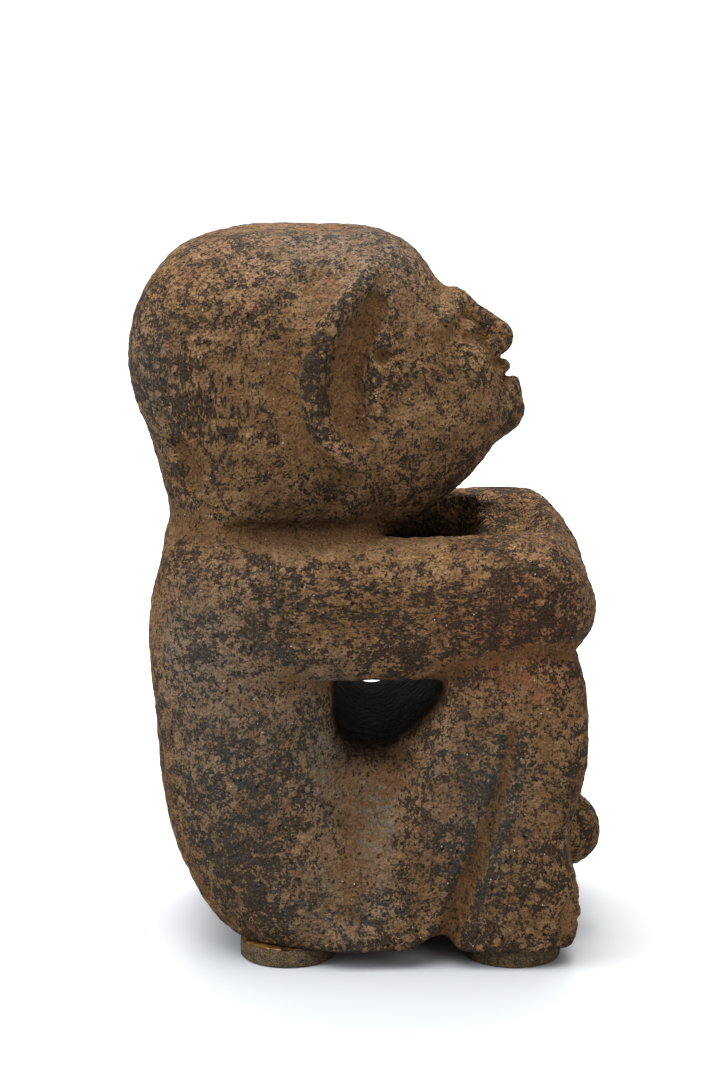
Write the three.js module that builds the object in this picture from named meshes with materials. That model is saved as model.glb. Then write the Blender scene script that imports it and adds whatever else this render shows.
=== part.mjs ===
// A seated stone figure with its arms folded on its drawn-up knees, standing on four felt pads.
// It is one carved block: a big rounded head on a block-like trunk, arms that make a ring above the knees,
// and a hollow inside that ring, open under the chin and out to each side below the upper arms.
// Millimetres, +Z up, the figure faces -Y and its left side is +X. The origin is on the floor, under the middle.
// Places on the figure are given as side (out from the middle), ahead (towards the face, so -Y) and up (+Z).
import * as THREE from "three";
import { surfaceNet } from "three/addons/libs/surfaceNet.js";
import { MeshoptSimplifier } from "three/addons/libs/meshopt_simplifier.module.js";

// Driving dimensions
const DEPTH = 127.3; // back of the head to the front of the boss between the shins
const HALF_WIDTH = 50; // middle to the outer face of an upper arm
const PAD_RADIUS = 12.7;
const PAD_THICKNESS = 4.7;
const PAD_SIDE = 32; // middle to the centre of a pad
const PADS_AHEAD = { rear: -19, front: 40.5 };
const PAD_GAP = 0.3; // between a pad and the stone above it
const STONE_BASE = PAD_THICKNESS + PAD_GAP;
const BACK = -61.2; // how far ahead the back of the head is; the frontmost point is DEPTH further
const MIDDLE_AHEAD = BACK + DEPTH / 2;

// Side outlines, as [ahead, up] points that a closed smooth curve runs through
const TRUNK_OUTLINE = [
  [-48.5, 112], [-53.6, 101], [-55.8, 88], [-54.4, 66], [-52.2, 42], [-47.5, 24.5], [-40.8, 12], [-31.5, 2.5], [-17, -6],
  [4, -10], [16, -4], [9, 24], [0, 44], [-4, 60], [-4.5, 78], [-1, 98], [4, 110], [-20, 113],
];
const HEAD_OUTLINE = [
  [-45, 104], [-50, 116], [-55.3, 135], [-60.2, 149], [-60.9, 162], [-57, 174.5], [-48, 184.4], [-34, 189.2],
  [-14, 190], [4, 189], [14.5, 184], [25.5, 168], [34, 154], [40, 142], [34, 130], [22, 118], [8, 109], [-16, 103],
];
const LEG_OUTLINE = [
  [-12, -8], [24, -10], [46, -8], [54.6, 1], [58.8, 13], [57, 23], [54.8, 32], [56.8, 42], [59.6, 53], [59.9, 64],
  [58.9, 75], [56.9, 80.5], [50.8, 85], [38, 90], [25, 86], [17, 68], [9, 50], [0, 32], [-10, 14],
];
const WEB_OUTLINE = [
  [-14, -10], [43, -10], [44, 30], [46, 60], [44, 84], [28, 88], [16, 68], [8, 60], [3, 58.6], [-4, 61], [-12, 62],
];
const TUNNEL_OUTLINE = [
  [-2.4, 61.5], [-5.2, 67], [-4.8, 74], [-0.5, 79], [13, 80], [21, 78], [20.4, 71.5], [14, 65.5], [4, 60.5],
];
const HOLLOW_OUTLINE = [
  [-5, 64.5], [-5, 74], [-1, 94], [5, 108], [8, 126], [26, 128], [33, 112], [30, 96], [25, 82], [14, 69], [3, 60.5],
];
const CURVE_STEPS = 5; // straight pieces between two outline points

// Widths across the figure: half the width, and the rounding of the edges
const TRUNK = { half: 47.5, round: 22 };
const HEAD = { half: 38, round: 27 };
const FACE_NARROWING = 9; // how much less the head's half width is at the face than at the back
const NECK_NARROWING = 5;
const LEG = { middle: 27.8, half: 19.6, round: 9 };
const WEB = { half: 38, round: 6 };
const TUNNEL = { half: 80, round: 1 };
const HOLLOW = { half: 28.5, round: 7 };

// Arms: a ring whose top, underside and edge rounding run from the shoulder to the elbow
const SHOULDER = { ahead: -38, top: 111.6, underside: 76.2, round: 9 };
const ELBOW = { ahead: 46, top: 113.8, underside: 79, round: 15 };
const ARM_RISE = { from: 20, over: 26 }; // where the arms' underside rises towards the elbow
const RING = { back: -48.5, front: 62.2, corner: 23 };
// The forearms' top front edge is cut off along this plane
const FOREARM_SLOPE = { ahead: 0.816, up: 0.578, reach: 107.6 };

// Carved details. Grooves run along lines of [ahead, up] points.
const VALLEY = { top: [53, 5, 70], foot: [50, -1, 16], radii: [14, 2.5] };
const FUNNEL = { top: [40, 3.5, 63], foot: [52, 1.5, 36], radii: [7, 4.4] };
const CALF_GROOVE = {
  line: [[39.3, 65], [37.3, 52], [33.6, 39], [28.5, 25], [21.5, 4]],
  widths: [3, 5.8],
  depths: [1, 4.4],
};
const ELBOW_GROOVE = {
  line: [[19, 78.6], [27, 81.2], [34, 83.8], [41, 85.4], [48, 86], [57, 85]],
  width: 3.2,
  depth: 1.2,
};
const EAR_RIDGE = {
  line: [[2.8, 176.6], [-4.3, 172], [-9.8, 163.5], [-10.8, 154], [-9.2, 144.5], [-4.4, 136.8], [0.8, 133.8]],
  top: 1,
  width: 5.6,
  height: 2.5,
};
const EAR_HOLLOW = {
  line: [[5, 174.5], [-0.4, 167], [-2.6, 159], [-2.4, 151], [0.6, 145], [5, 141.5]],
  width: 5.6,
  depth: 3.6,
};
const EAR_BACK = {
  line: [[-13.5, 176], [-19, 165], [-20.2, 154], [-18, 142.5], [-12, 132.5], [-4, 127.5]],
  width: 7,
  depth: 1.2,
};
const EAR_PIT = { centre: [36.6, 5.2, 160.8], radii: [2.8, 2.4, 2.4] };
const NECK_CREASE = { up: 115.5, width: 3.4, depth: 1 };
const HEAD_BLEND = { nape: 9, neck: 15, jaw: 2.5 }; // how softly the head meets the back, shoulders and forearms
const DISH = { centre: [0, 36, 122], radii: [29, 21, 18] };
const BACK_PIT = { top: [-31.6, -46.8, 136.6], foot: [-32.2, -42.8, 127.6], radii: [2.7, 2.5] };
const NOTCH = { ahead: 19.5, up: 2.6, radius: 5.6 };
const BOSS = { root: [0, 30, 27], tip: [0, 55.4, 25], radii: [10, 10.8] };

// The face lies in a frame of its own, tilted back: across, out of the face, and up it.
// Its features stand by thirds from the hair line to the chin, and by fifths across.
const FACE = { ahead: 31, up: 162.5, tilt: THREE.MathUtils.degToRad(28), length: 52, width: 60 };
const BROW = FACE.length / 6;
const NOSE_BASE = -FACE.length / 6;
const CHIN = -FACE.length / 2;
const EYE = FACE.width / 5;
const MOUTH = NOSE_BASE + (CHIN - NOSE_BASE) / 3;

// Meshing
const CELL = 1.6;
const BLOCK = 5; // grid points along the side of a block, which is sampled only where it lies near the surface
const BLOCK_MARGIN = 6;
const STONE_TRIANGLES = 9200;

const smin = (a, b, k) => Math.min(a, b) - Math.max(k - Math.abs(a - b), 0) ** 2 / (4 * k);
const smax = (a, b, k) => -smin(-a, -b, k);
const mix = (a, b, t) => a + (b - a) * t;
const clamp01 = (t) => Math.min(Math.max(t, 0), 1);
const ease = (t) => clamp01(t) ** 2 * (3 - 2 * clamp01(t));
const hump = (distance, halfWidth) => 1 - ease(distance / halfWidth);

// How far a point is from the line through the points, and where along it, from 0 to 1
function lineAt(points, ahead, up) {
  let distance = Infinity;
  let along = 0;
  for (let i = 1; i < points.length; i++) {
    const [ax, ay] = points[i - 1];
    const ex = points[i][0] - ax;
    const ey = points[i][1] - ay;
    const t = clamp01(((ahead - ax) * ex + (up - ay) * ey) / (ex * ex + ey * ey));
    const here = Math.hypot(ahead - ax - t * ex, up - ay - t * ey);
    if (here < distance) {
      distance = here;
      along = (i - 1 + t) / (points.length - 1);
    }
  }
  return [distance, along];
}

function smoothLine(points, closed) {
  const through = points.map(([ahead, up]) => new THREE.Vector3(ahead, up, 0));
  const curve = new THREE.CatmullRomCurve3(through, closed);
  return curve.getPoints(points.length * CURVE_STEPS).map((p) => [p.x, p.y]);
}

// Keeps the last answer, as points beside each other across the figure share their ahead and up
function remembered(measure) {
  let last = [NaN, NaN];
  let answer;
  return (ahead, up) => {
    if (last[0] !== ahead || last[1] !== up) {
      answer = measure(ahead, up);
      last = [ahead, up];
    }
    return answer;
  };
}

// The signed distance to a closed smooth curve through the points: negative inside
function outline(points) {
  const ring = smoothLine(points, true);
  return remembered((ahead, up) => {
    let inside = false;
    for (let i = 1; i < ring.length; i++) {
      const [ax, ay] = ring[i - 1];
      const [bx, by] = ring[i];
      if (ay > up !== by > up && ahead < ax + ((up - ay) * (bx - ax)) / (by - ay)) inside = !inside;
    }
    return lineAt(ring, ahead, up)[0] * (inside ? -1 : 1);
  });
}

function openLine(points) {
  const line = smoothLine(points, false);
  return remembered((ahead, up) => lineAt(line, ahead, up));
}

const trunkOutline = outline(TRUNK_OUTLINE);
const headOutline = outline(HEAD_OUTLINE);
const legOutline = outline(LEG_OUTLINE);
const webOutline = outline(WEB_OUTLINE);
const tunnelOutline = outline(TUNNEL_OUTLINE);
const hollowOutline = outline(HOLLOW_OUTLINE);
const calfGroove = openLine(CALF_GROOVE.line);
const elbowGroove = openLine(ELBOW_GROOVE.line);
const earRidge = openLine(EAR_RIDGE.line);
const earHollow = openLine(EAR_HOLLOW.line);
const earBack = openLine(EAR_BACK.line);

// Two distances met at a right angle, with the edge between them rounded
function roundedEdge(a, b, round) {
  return Math.min(Math.max(a, b) + round, 0) + Math.hypot(Math.max(a + round, 0), Math.max(b + round, 0)) - round;
}

// An outline carried across the figure for `half` each side of a middle
const slab = (profile, across, { half, round }) => roundedEdge(profile, Math.abs(across) - half, round);

function ellipsoid(p, centre, radii) {
  const q = p.map((v, i) => v - centre[i]);
  const near = Math.hypot(...q.map((v, i) => v / radii[i]));
  const slope = Math.hypot(...q.map((v, i) => v / radii[i] ** 2));
  return slope === 0 ? -Math.min(...radii) : (near * (near - 1)) / slope;
}

// A rod from a to b whose radius runs between the two radii, with round ends
function rod(p, a, b, radii) {
  const along = b.map((v, i) => v - a[i]);
  const length2 = along.reduce((s, v) => s + v * v, 0);
  const t = clamp01(p.reduce((s, v, i) => s + (v - a[i]) * along[i], 0) / length2);
  return Math.hypot(...p.map((v, i) => v - a[i] - t * along[i])) - mix(...radii, t);
}

function arms(side, ahead, up) {
  const t = clamp01((ahead - SHOULDER.ahead) / (ELBOW.ahead - SHOULDER.ahead));
  const top = mix(SHOULDER.top, ELBOW.top, t);
  const underside = mix(SHOULDER.underside, ELBOW.underside, ease((ahead - ARM_RISE.from) / ARM_RISE.over));
  const level = Math.abs(up - (top + underside) / 2) - (top - underside) / 2;
  const middle = (RING.front + RING.back) / 2;
  const reach = (RING.front - RING.back) / 2;
  const plan = roundedEdge(side - HALF_WIDTH, Math.abs(ahead - middle) - reach, RING.corner);
  const slope = ahead * FOREARM_SLOPE.ahead + up * FOREARM_SLOPE.up - FOREARM_SLOPE.reach;
  return smax(roundedEdge(plan, level, mix(SHOULDER.round, ELBOW.round, t)), slope, 4);
}

function body(side, ahead, up) {
  const p = [side, ahead, up];
  let d = slab(trunkOutline(ahead, up), side, TRUNK);
  d = smin(d, slab(legOutline(ahead, up), side - LEG.middle, LEG), 5);
  d = smin(d, slab(webOutline(ahead, up), side, WEB), 4);
  d = smax(d, -rod(p, VALLEY.top, VALLEY.foot, VALLEY.radii), 6);
  d = smax(d, -rod(p, FUNNEL.top, FUNNEL.foot, FUNNEL.radii), 3);
  d = smax(d, -slab(tunnelOutline(ahead, up), side, TUNNEL), 4);
  d = smin(d, arms(side, ahead, up), 2.5);
  d = smax(d, -slab(hollowOutline(ahead, up), side, HOLLOW), 3);
  d = smax(d, -ellipsoid(p, DISH.centre, DISH.radii), 4);
  const [fromCalf, along] = calfGroove(ahead, up);
  d += mix(...CALF_GROOVE.depths, along) * hump(fromCalf, mix(...CALF_GROOVE.widths, along)) * ease(side / 20);
  d += ELBOW_GROOVE.depth * hump(elbowGroove(ahead, up)[0], ELBOW_GROOVE.width) * ease((side - 38) / 6);
  d = smax(d, NOTCH.radius - Math.hypot(ahead - NOTCH.ahead, up - NOTCH.up), 3);
  return smin(d, rod(p, BOSS.root, BOSS.tip, BOSS.radii), 4);
}

function face(d, side, ahead, up) {
  const out = (ahead - FACE.ahead) * Math.cos(FACE.tilt) + (up - FACE.up) * Math.sin(FACE.tilt);
  const rise = (up - FACE.up) * Math.cos(FACE.tilt) - (ahead - FACE.ahead) * Math.sin(FACE.tilt);
  const p = [side, out, rise];
  d = smin(d, rod(p, [0, -1.5, BROW + 1.5], [EYE * 1.8, -6, BROW + 0.5], [3.6, 2.8]), 4);
  d = smin(d, ellipsoid(p, [17, -7, -6], [9, 7, 9]), 6);
  d = smax(d, -ellipsoid(p, [EYE + 0.4, 3.4, BROW - 5.6], [8.8, 4.8, 5]), 2.5);
  d = smin(d, ellipsoid(p, [EYE, -2.4, BROW - 6.2], [6.4, 3.6, 3.5]), 0.8);
  d = smin(d, rod(p, [0, -1.6, BROW - 1], [0, 3.8, NOSE_BASE + 4.6], [4.2, 5]), 3);
  d = smin(d, ellipsoid(p, [4.8, 2, NOSE_BASE + 3], [3.4, 3.6, 3]), 1.5);
  d = smin(d, ellipsoid(p, [0, -3, MOUTH], [13, 5, 7]), 4);
  d = smin(d, ellipsoid(p, [0, 0.6, MOUTH + 2.2], [9.2, 3.6, 2.4]), 1);
  d = smin(d, ellipsoid(p, [0, 0.4, MOUTH - 2.4], [8.2, 3.6, 2.7]), 0.8);
  return smin(d, ellipsoid(p, [0, -4, CHIN + 4], [11, 6.5, 6.5]), 5);
}

function head(side, ahead, up) {
  const narrowing = FACE_NARROWING * ease((ahead + 5) / 45) + NECK_NARROWING * ease((125 - up) / 20);
  let d = slab(headOutline(ahead, up), side, { half: HEAD.half - narrowing, round: HEAD.round - narrowing * 0.5 });
  const sideOnly = ease(side / 24);
  d -= EAR_RIDGE.height * hump(earRidge(ahead, up)[0] - EAR_RIDGE.top, EAR_RIDGE.width - EAR_RIDGE.top) * sideOnly;
  d += EAR_HOLLOW.depth * hump(earHollow(ahead, up)[0], EAR_HOLLOW.width) * sideOnly;
  d += EAR_BACK.depth * hump(earBack(ahead, up)[0], EAR_BACK.width) * sideOnly;
  d = smax(d, -ellipsoid([side, ahead, up], EAR_PIT.centre, EAR_PIT.radii), 1.5);
  return face(d, side, ahead, up);
}

// Distance to the stone: negative inside. Both sides are alike but for the pit at the back of the head.
function stone(x, y, z) {
  const side = Math.abs(x);
  const ahead = MIDDLE_AHEAD - y;
  const atBack = mix(HEAD_BLEND.nape, HEAD_BLEND.neck, ease((ahead + 50) / 16));
  const blend = mix(atBack, HEAD_BLEND.jaw, ease((ahead + 1) / 9));
  let d = smin(body(side, ahead, z), head(side, ahead, z), blend);
  const alongNeck = ease((8 - ahead) / 10) * ease((ahead + 40) / 14);
  d += NECK_CREASE.depth * hump(Math.abs(z - NECK_CREASE.up), NECK_CREASE.width) * alongNeck;
  d = smax(d, -rod([x, ahead, z], BACK_PIT.top, BACK_PIT.foot, BACK_PIT.radii), 1.5);
  return smax(d, STONE_BASE - z, 2);
}

// Pulls a point onto the surface where the distance is zero
function settle(distance, p) {
  const step = 0.2;
  for (let round = 0; round < 3; round++) {
    const here = distance(...p);
    const slope = p.map((_, i) => (distance(...p.map((v, j) => (i === j ? v + step : v))) - here) / step);
    const steep = Math.max(slope.reduce((s, v) => s + v * v, 0), 0.25);
    p = p.map((v, i) => v - (slope[i] * here) / steep);
  }
  return p;
}

// Samples the distance on a grid, block by block
function sampled(distance, low, dims) {
  const field = new Float32Array(dims[0] * dims[1] * dims[2]);
  const place = (i, j, k) => [low[0] + i * CELL, low[1] + j * CELL, low[2] + k * CELL];
  const sampleBlock = (start) => {
    const centre = distance(...place(...start.map((v) => v + (BLOCK - 1) / 2)));
    const isNear = Math.abs(centre) < BLOCK * CELL + BLOCK_MARGIN;
    const end = start.map((v, i) => Math.min(v + BLOCK, dims[i]));
    for (let k = start[2]; k < end[2]; k++)
      for (let j = start[1]; j < end[1]; j++)
        for (let i = start[0]; i < end[0]; i++)
          field[i + dims[0] * (j + dims[1] * k)] = isNear ? distance(...place(i, j, k)) : centre;
  };
  for (let k = 0; k < dims[2]; k += BLOCK)
    for (let j = 0; j < dims[1]; j += BLOCK)
      for (let i = 0; i < dims[0]; i += BLOCK) sampleBlock([i, j, k]);
  return (i, j, k) => field[i + dims[0] * (j + dims[1] * k)];
}

// Nets the surface where the distance is zero, thins the net and settles what is left onto the surface
function carve(distance, low, high) {
  const dims = high.map((v, i) => Math.ceil((v - low[i]) / CELL) + 1);
  const net = surfaceNet(dims, sampled(distance, low, dims));
  const places = net.positions.map((p) => p.map((v, i) => low[i] + v * CELL));
  const indices = new Uint32Array(net.cells.flat());
  const [kept] = MeshoptSimplifier.simplify(indices, new Float32Array(places.flat()), 3, STONE_TRIANGLES * 3, 1, []);
  const numbers = [...new Set(kept)];
  const positions = numbers.flatMap((n) => settle(distance, places[n]));
  const renumbered = new Map(numbers.map((n, i) => [n, i]));
  const geometry = new THREE.BufferGeometry();
  geometry.setAttribute("position", new THREE.Float32BufferAttribute(positions, 3));
  geometry.setIndex([...kept].map((n) => renumbered.get(n)));
  return geometry;
}

function padDisc() {
  const chamfer = 0.6;
  const profile = [
    [0, 0], [PAD_RADIUS - chamfer, 0], [PAD_RADIUS, chamfer], [PAD_RADIUS, PAD_THICKNESS], [0, PAD_THICKNESS],
  ];
  const disc = new THREE.LatheGeometry(profile.map(([r, h]) => new THREE.Vector2(r, h)), 32);
  return disc.rotateX(Math.PI / 2);
}

await MeshoptSimplifier.ready;
const stoneMaterial = new THREE.MeshStandardMaterial({ color: 0x8a6a48, roughness: 0.92, metalness: 0 });
const feltMaterial = new THREE.MeshStandardMaterial({ color: 0x4a4234, roughness: 1, metalness: 0 });

const figure = new THREE.Group();
const block = new THREE.Mesh(carve(stone, [-55, -69, 0], [55, 67, 194]), stoneMaterial);
block.name = "stone_figure";
figure.add(block);
for (const [end, ahead] of Object.entries(PADS_AHEAD))
  for (const [hand, side] of [["right", -PAD_SIDE], ["left", PAD_SIDE]]) {
    const pad = new THREE.Mesh(padDisc(), feltMaterial);
    pad.name = `felt_pad_${end}_${hand}`;
    pad.position.set(side, MIDDLE_AHEAD - ahead, 0);
    figure.add(pad);
  }

export default figure;
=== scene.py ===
# The looks of a seated stone figure on felt pads, around its imported CAD model.
# The stone is carved again from the CAD model's outlines on a finer grid, with small relief added.
# Each vertex is told how hollow, how worn and how dark its place is, and where shade and sheen are painted;
# the stone's material reads that.
import itertools
import math

import bpy
import numpy as np
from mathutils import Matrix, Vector, noise
from mathutils.kdtree import KDTree


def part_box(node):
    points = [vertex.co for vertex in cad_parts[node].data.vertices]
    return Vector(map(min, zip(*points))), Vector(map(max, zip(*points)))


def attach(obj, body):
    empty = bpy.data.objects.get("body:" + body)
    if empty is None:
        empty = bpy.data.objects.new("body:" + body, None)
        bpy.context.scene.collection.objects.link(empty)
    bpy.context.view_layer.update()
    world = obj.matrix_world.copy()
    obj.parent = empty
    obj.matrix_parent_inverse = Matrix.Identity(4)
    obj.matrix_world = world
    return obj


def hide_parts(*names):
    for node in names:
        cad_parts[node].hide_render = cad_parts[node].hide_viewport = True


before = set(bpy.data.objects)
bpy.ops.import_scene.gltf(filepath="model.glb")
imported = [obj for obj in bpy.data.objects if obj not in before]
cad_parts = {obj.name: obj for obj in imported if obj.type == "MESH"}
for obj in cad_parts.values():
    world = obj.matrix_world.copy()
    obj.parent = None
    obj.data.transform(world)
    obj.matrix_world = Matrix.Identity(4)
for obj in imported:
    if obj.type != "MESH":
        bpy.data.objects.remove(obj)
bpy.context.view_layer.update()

MM = 0.001
SEED = 7

# The CAD model's values, in millimetres. A place is side (out from the middle), ahead (towards the face, so
# -Y) and up (+Z).
HALF_WIDTH = 50
MIDDLE_AHEAD = 2.45
STONE_BASE = 5
PAD_RADIUS = 12.7
PAD_THICKNESS = 4.7

TRUNK_OUTLINE = [
    (-48.5, 112), (-53.6, 101), (-55.8, 88), (-54.4, 66), (-52.2, 42), (-47.5, 24.5), (-40.8, 12),
    (-31.5, 2.5), (-17, -6), (4, -10), (16, -4), (9, 24), (0, 44), (-4, 60), (-4.5, 78), (-1, 98), (4, 110),
    (-20, 113)]
HEAD_OUTLINE = [
    (-45, 104), (-50, 116), (-55.3, 135), (-60.2, 149), (-60.9, 162), (-57, 174.5), (-48, 184.4),
    (-34, 189.2), (-14, 190), (4, 189), (14.5, 184), (25.5, 168), (34, 154), (40, 142), (34, 130),
    (22, 118), (8, 109), (-16, 103)]
LEG_OUTLINE = [
    (-12, -8), (24, -10), (46, -8), (54.6, 1), (58.8, 13), (57, 23), (54.8, 32), (56.8, 42), (59.6, 53),
    (59.9, 64), (58.9, 75), (56.9, 80.5), (50.8, 85), (38, 90), (25, 86), (17, 68), (9, 50), (0, 32),
    (-10, 14)]
WEB_OUTLINE = [
    (-14, -10), (43, -10), (44, 30), (46, 60), (44, 84), (28, 88), (16, 68), (8, 60), (3, 58.6), (-4, 61),
    (-12, 62)]
TUNNEL_OUTLINE = [
    (-2.4, 61.5), (-5.2, 67), (-4.8, 74), (-0.5, 79), (13, 80), (21, 78), (20.4, 71.5), (14, 65.5),
    (4, 60.5)]
HOLLOW_OUTLINE = [
    (-5, 64.5), (-5, 74), (-1, 94), (5, 108), (8, 126), (26, 128), (33, 112), (30, 96), (25, 82), (14, 69),
    (3, 60.5)]

# Widths across the figure: half the width, and the rounding of the edges
TRUNK = (47.5, 22)
HEAD = (38, 27)
LEG = (19.6, 9)
LEG_MIDDLE = 27.8
WEB = (38, 6)
TUNNEL = (80, 1)
HOLLOW = (28.5, 7)

# A pair such as FACE_NARROWS, here and below, is where a change starts or ends and over how far it runs
FACE_NARROWING, FACE_NARROWS = 9, (-5, 45)  # how much less the head's half width is at the face
NECK_NARROWING, NECK_NARROWS = 5, (125, 20)

# The arms are a ring, whose top, underside and rounding run from the shoulder to the elbow
SHOULDER_AHEAD, ELBOW_AHEAD = -38, 46
ARM_TOP, ARM_UNDERSIDE, ARM_ROUND = (111.6, 113.8), (76.2, 79), (9, 15)
ARM_RISE = (20, 26)
RING_BACK, RING_FRONT, RING_CORNER = -48.5, 62.2, 23
FOREARM_SLOPE = (0.816, 0.578, 107.6)  # a plane that takes off the forearms' top front edge

# Rods are two ends and their radii, balls are a centre and radii
VALLEY = ((53, 5, 70), (50, -1, 16), (14, 2.5))
FUNNEL = ((40, 3.5, 63), (52, 1.5, 36), (7, 4.4))
DISH = ((0, 36, 122), (29, 21, 18))
BOSS = ((0, 30, 27), (0, 55.4, 25), (10, 10.8))
NOTCH_AHEAD, NOTCH_UP, NOTCH_RADIUS = 19.5, 2.6, 5.6
NECK_CREASE_UP, NECK_CREASE_WIDTH, NECK_CREASE_DEPTH = 115.5, 3.4, 1
NECK_CREASE_FRONT, NECK_CREASE_BACK = (8, 10), (-40, 14)
# How softly the head meets the back, the shoulders and the forearms
NAPE_BLEND, NECK_BLEND, JAW_BLEND = 9, 15, 2.5
NAPE_TO_NECK, NECK_TO_JAW = (-50, 16), (-1, 9)

# The face lies in a frame of its own, tilted back: across, out of the face, and up it.
# Its features stand by thirds from the hair line to the chin, and by fifths across.
FACE_AHEAD, FACE_UP, FACE_TILT = 31, 162.5, math.radians(28)
FACE_LENGTH, FACE_WIDTH = 52, 60
BROW = FACE_LENGTH / 6
NOSE_BASE = -FACE_LENGTH / 6
CHIN = -FACE_LENGTH / 2
EYE = FACE_WIDTH / 5
MOUTH = NOSE_BASE + (CHIN - NOSE_BASE) / 3
BROW_RIDGE = ((0, -1.5, BROW + 1.5), (EYE * 1.8, -6, BROW + 0.5), (3.6, 2.8))
CHEEK = ((17, -7, -6), (9, 7, 9))
EYE_SOCKET = ((EYE + 0.4, 3.4, BROW - 5.6), (8.8, 4.8, 5))
EYEBALL = ((EYE, -2.4, BROW - 6.2), (6.4, 3.6, 3.5))
NOSE = ((0, -1.6, BROW - 1), (0, 3.8, NOSE_BASE + 4.6), (4.2, 5))
NOSE_WING = ((4.8, 2, NOSE_BASE + 3), (3.4, 3.6, 3))
MOUTH_MOUND = ((0, -3, MOUTH), (13, 5, 7))
UPPER_LIP = ((0, 0.6, MOUTH + 2.2), (9.2, 3.6, 2.4))
LOWER_LIP = ((0, 0.4, MOUTH - 2.4), (8.2, 3.6, 2.7))
CHIN_BALL = ((0, -4, CHIN + 4), (11, 6.5, 6.5))

# Carving that differs a little from the CAD model's. Lines are (ahead, up) points.
CALF_GROOVE = [(39.3, 65), (37.3, 52), (33.6, 39), (28.5, 25), (21.5, 4)]
CALF_GROOVE_WIDTHS, CALF_GROOVE_DEPTHS = (1.7, 5.4), (1.2, 4.4)
CALF_GROOVE_FADE = (0, 20)
ELBOW_GROOVE = [(19, 78.6), (27, 81.2), (34, 83.8), (41, 85.4), (48, 86), (57, 85)]
ELBOW_GROOVE_WIDTH, ELBOW_GROOVE_DEPTH = 3, 1.3
ELBOW_GROOVE_FADE = (38, 6)
EAR_FADE = (0, 24)
EAR_RIDGE = [
    (2.4, 181.5), (-1.6, 175.8), (-7.2, 168), (-10.8, 159.5), (-11.4, 151), (-9.6, 143), (-5.4, 136.8),
    (-0.4, 133.6)]
EAR_RIDGE_TOP, EAR_RIDGE_WIDTH, EAR_RIDGE_HEIGHT = 1.4, 3.6, 3
EAR_HOLLOW = [(5.4, 173), (2.2, 166.5), (-0.2, 160), (-1.6, 153.5), (0.4, 146.5)]
EAR_HOLLOW_WIDTH, EAR_HOLLOW_DEPTH = 4, 5
EAR_HOLLOW_END = 0.5  # the share of its depth that it has at its ends
EAR_HOLLOW_DEEPENS, EAR_HOLLOW_FADES = (0, 0.3), (0.75, 0.25)  # along its length, which is 1
EAR_SLOPE = [(2.4, 174), (-1.0, 167.5), (-3.8, 160.5), (-4.8, 153), (-3.4, 146), (-0.4, 141.5)]
EAR_SLOPE_WIDTH, EAR_SLOPE_DEPTH = 4.6, 2.8
EAR_BACK = [(-10.5, 180), (-16, 174), (-19, 165), (-20.2, 154), (-18, 142.5), (-12, 132.5), (-4, 127.5)]
EAR_BACK_WIDTH, EAR_BACK_DEPTH = 7, 1.2
EAR_PIT = ((36.6, 5.9, 160.4), (3.8, 2.3, 2.3))
BACK_PIT = ((-31.2, -47.4, 135.2), (-31.8, -43.6, 126.2), (3.5, 3.2))

# Relief that only the visual model has
FINGER_LINES_UP = (91.5, 98, 104.5)
FINGER_LINE_WIDTH, FINGER_LINE_DEPTH = 1.7, 1.3
BETWEEN_HANDS_WIDTH, BETWEEN_HANDS_DEPTH = 2, 1.8
HANDS_AHEAD, HANDS_SIDE, FINGERS_SIDE = (56, 3), (22, 4), (2, 3)
FIRST_TOE_LINE, TOE_WIDTH, TOE_DEPTH = 8.6, 7.3, 2.5
TOE_SHARPNESS = 3
TOES_AHEAD, TOES_UP, TOES_FADE = (49, 5), (20, 6), 2
LID_LINE = [(EYE - 6.4, BROW - 6.6), (EYE - 2, BROW - 8.2), (EYE + 2.6, BROW - 8), (EYE + 6.6, BROW - 6.4)]
LID_LINE_WIDTH, LID_LINE_DEPTH = 1.1, 0.9
LIP_LINE = [(0, MOUTH - 0.2), (5, MOUTH - 0.1), (9.6, MOUTH + 0.5)]
LIP_LINE_WIDTH, LIP_LINE_DEPTH = 1.3, 1.2
FACE_LINES_OUT = (-6, 3)
NOSTRIL = ((2.6, 5.2, NOSE_BASE - 0.6), (1.7, 2.2, 1.5))

# The surface: bumps are how far apart the widest are, how many octaves they have and how deep they go
BUMPS = ((16, 2, 0.4), (2.8, 3, 0.42))
BUMPS_LEVEL, BUMPS_SWING, BUMPS_MOST = 0.6, 0.8, 1.4
BUMPS_APART = 3.7  # how far apart in the noise the two kinds of bumps are read
CHIPPED_FEET = ((34, 60, 12), (24, 12, 18))
CHIPS = (6, 3, 2.4)
CHIPS_LEVEL, CHIPS_PLACE = 0.15, 19
PIT_COUNT = 420
PIT_RADII = (0.7, 1.3)
PIT_DEPTHS = (0.2, 0.45)  # shares of the radius
COMMON_PITS, LARGE_PIT = 0.9, 1.6  # the share that keeps its radius, and what the others are scaled by
BASE_FADE = 1.5  # how far above the flat base the relief is full
SMOOTH_INSIDE = 0.85  # how much of the relief is left out inside the ring of the arms
INSIDE_BACK, INSIDE_FRONT, INSIDE_SIDE = (-9, 3), (35, 12), (45, 12)
INSIDE_TOP, INSIDE_FOOT = (113, 13), (50, 6)

# Meshing
CURVE_STEPS = 8
CELL = 0.8
STONE_TRIANGLES = 190000
GRID_LOW = (-52, -66, 1)
GRID_HIGH = (52, 66, 193)
CELL_CORNERS = list(itertools.product((0, 1), repeat=3))
FRACTAL_FADE, FRACTAL_STEP = 0.9, 2.1

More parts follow.
